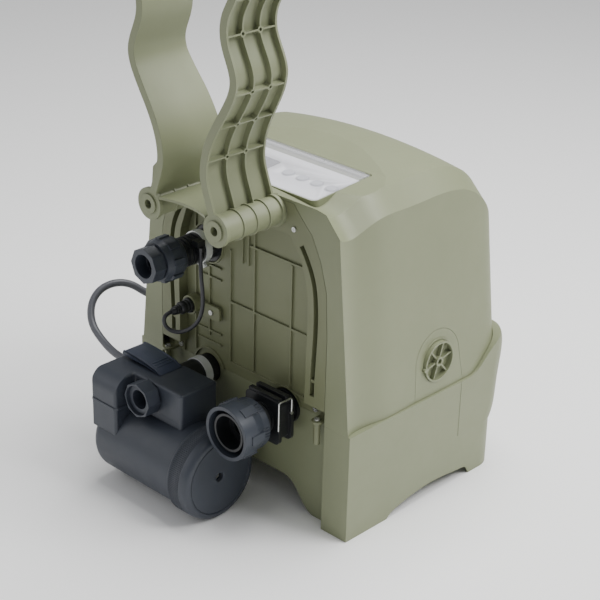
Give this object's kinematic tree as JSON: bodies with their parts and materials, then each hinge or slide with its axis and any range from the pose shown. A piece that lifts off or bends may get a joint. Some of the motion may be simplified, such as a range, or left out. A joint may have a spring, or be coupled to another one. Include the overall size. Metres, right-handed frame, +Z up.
{
  "type": "hot tub pump and filter unit",
  "caption": "Free-standing pump, heater and blower unit with side filter canister, hose unions, flip-up clear lid over its control panel and two hinged wave-shaped arms.",
  "frame": {"origin": "middle of the plan of the whole object, on the surface it stands on", "axes": "+Z up, -Y towards the rear side with the hose connections, +X to the right seen from that side, so the housing's plane of symmetry is X=0"},
  "size_m": [0.5654, 0.5592, 0.905],
  "materials": {
    "olive": "moulded, fine texture",
    "light_trim": "moulded",
    "clear": "clear polycarbonate",
    "display": "gloss",
    "button": "moulded",
    "slate": "moulded, fine texture",
    "slate_nut": "moulded",
    "black": "moulded",
    "seal": "moulded rubber",
    "cord": "soft PVC",
    "steel": "bright zinc plated or stainless",
    "filter_paper": "pleated polyester",
    "filter_cap": "moulded",
    "board": "circuit board"
  },
  "bodies": {
    "housing": {"base_shell": "olive", "cover_shell": "olive", "side_hatch": "olive", "rear_frame": "olive", "rear_panel": "olive", "arm_shelf": "olive", "hinge_pin_left": "light_trim", "hinge_pin_right": "light_trim", "control_tray": "light_trim", "lid_hinge_pin": "steel", "display_window": "display", "control_board": "board", "air_port": "black", "sensor_stub": "black", "air_nozzle": "slate", "air_clamp": "steel", "outlet_port": "black", "outlet_latch": "black", "canister_body": "slate", "cap_seal": "seal", "filter_cartridge": "filter_paper", "cartridge_ends": "filter_cap", "head_lower": "slate", "head_upper": "slate", "pump_motor": "black", "inlet_pipe": "slate", "filter_outlet": "black", "filter_clamp": "steel", "clamp_screws": "steel", "latch_pin": "steel", "pump_lead": "cord", "sensor_cable": "cord", "head_gland": "black", "wall_gland": "black", "cable_plug": "black", "cable_bracket": "olive", "corner_brackets": "light_trim", "rear_screws": "steel", "heater_tube": "steel", "heater_element": "steel", "blower_housing": "black", "air_pipe": "black", "control_box": "black"},
    "arm_right": {"arm_right": "olive"},
    "arm_left": {"arm_left": "olive"},
    "clear_lid": {"clear_lid": "clear"},
    "button_1": {"button_1": "button"},
    "button_2": {"button_2": "button"},
    "button_3": {"button_3": "button"},
    "button_4": {"button_4": "button"},
    "access_cap": {"access_cap": "light_trim"},
    "air_nut": {"air_nut": "slate_nut"},
    "outlet_nut": {"outlet_nut": "slate"},
    "inlet_nut": {"inlet_nut": "slate"},
    "canister_cap": {"canister_cap": "slate", "cap_screw": "steel"},
    "latch_lever": {"latch_lever": "slate"},
    "wire_clip": {"wire_clip": "steel"},
    "impeller": {"impeller": "black"},
    "blower_fan": {"blower_fan": "black"}
  },
  "joints": [
    {"name": "arm_right_hinge", "type": "hinge", "parent": "housing", "child": "arm_right", "pos_m": [0.0714, -0.1756, 0.505], "axis": [0, 1, 0], "range_deg": [0, 110]},
    {"name": "arm_left_hinge", "type": "hinge", "parent": "housing", "child": "arm_left", "pos_m": [-0.0714, -0.1756, 0.505], "axis": [0, -1, 0], "range_deg": [0, 110]},
    {"name": "lid_hinge", "type": "hinge", "parent": "housing", "child": "clear_lid", "pos_m": [0, 0.02383, 0.53764], "axis": [-1, 0, 0], "range_deg": [0, 95]},
    {"name": "button_1_press", "type": "slide", "parent": "housing", "child": "button_1", "axis": [0, 0.0698, -0.9976], "range_m": [0, 0.0015], "stiffness_N_per_m": 300, "springref_m": -0.002},
    {"name": "button_2_press", "type": "slide", "parent": "housing", "child": "button_2", "axis": [0, 0.0698, -0.9976], "range_m": [0, 0.0015], "stiffness_N_per_m": 300, "springref_m": -0.002},
    {"name": "button_3_press", "type": "slide", "parent": "housing", "child": "button_3", "axis": [0, 0.0698, -0.9976], "range_m": [0, 0.0015], "stiffness_N_per_m": 300, "springref_m": -0.002},
    {"name": "button_4_press", "type": "slide", "parent": "housing", "child": "button_4", "axis": [0, 0.0698, -0.9976], "range_m": [0, 0.0015], "stiffness_N_per_m": 300, "springref_m": -0.002},
    {"name": "access_cap_turn", "type": "hinge", "parent": "housing", "child": "access_cap", "pos_m": [0.225, 0.0964, 0.238], "axis": [-1, 0, 0], "range_deg": [0, 90]},
    {"name": "air_nut_turn", "type": "hinge", "parent": "housing", "child": "air_nut", "pos_m": [-0.09, -0.1896, 0.396], "axis": [0, 1, 0], "continuous": true},
    {"name": "outlet_nut_turn", "type": "hinge", "parent": "housing", "child": "outlet_nut", "pos_m": [0.088, -0.1996, 0.176], "axis": [0, 1, 0], "continuous": true},
    {"name": "inlet_nut_turn", "type": "hinge", "parent": "housing", "child": "inlet_nut", "pos_m": [-0.086, -0.2436, 0.174], "axis": [0, 1, 0], "continuous": true},
    {"name": "canister_cap_turn", "type": "hinge", "parent": "housing", "child": "canister_cap", "pos_m": [0.03, -0.2056, 0.074], "axis": [1, 0, 0], "range_deg": [0, 180]},
    {"name": "latch_lever_lift", "type": "hinge", "parent": "housing", "child": "latch_lever", "pos_m": [-0.172, -0.1846, 0.208], "axis": [0, -1, 0], "range_deg": [0, 30]},
    {"name": "wire_clip_swing", "type": "hinge", "parent": "housing", "child": "wire_clip", "pos_m": [0.1272, -0.1276, 0.19], "axis": [-1, 0, 0], "range_deg": [0, 80]},
    {"name": "impeller_spin", "type": "hinge", "parent": "housing", "child": "impeller", "pos_m": [-0.15, -0.1846, 0.172], "axis": [0, 1, 0], "continuous": true},
    {"name": "blower_fan_spin", "type": "hinge", "parent": "housing", "child": "blower_fan", "pos_m": [-0.11, 0.1404, 0.1], "axis": [0, 0, 1], "continuous": true}
  ]
}
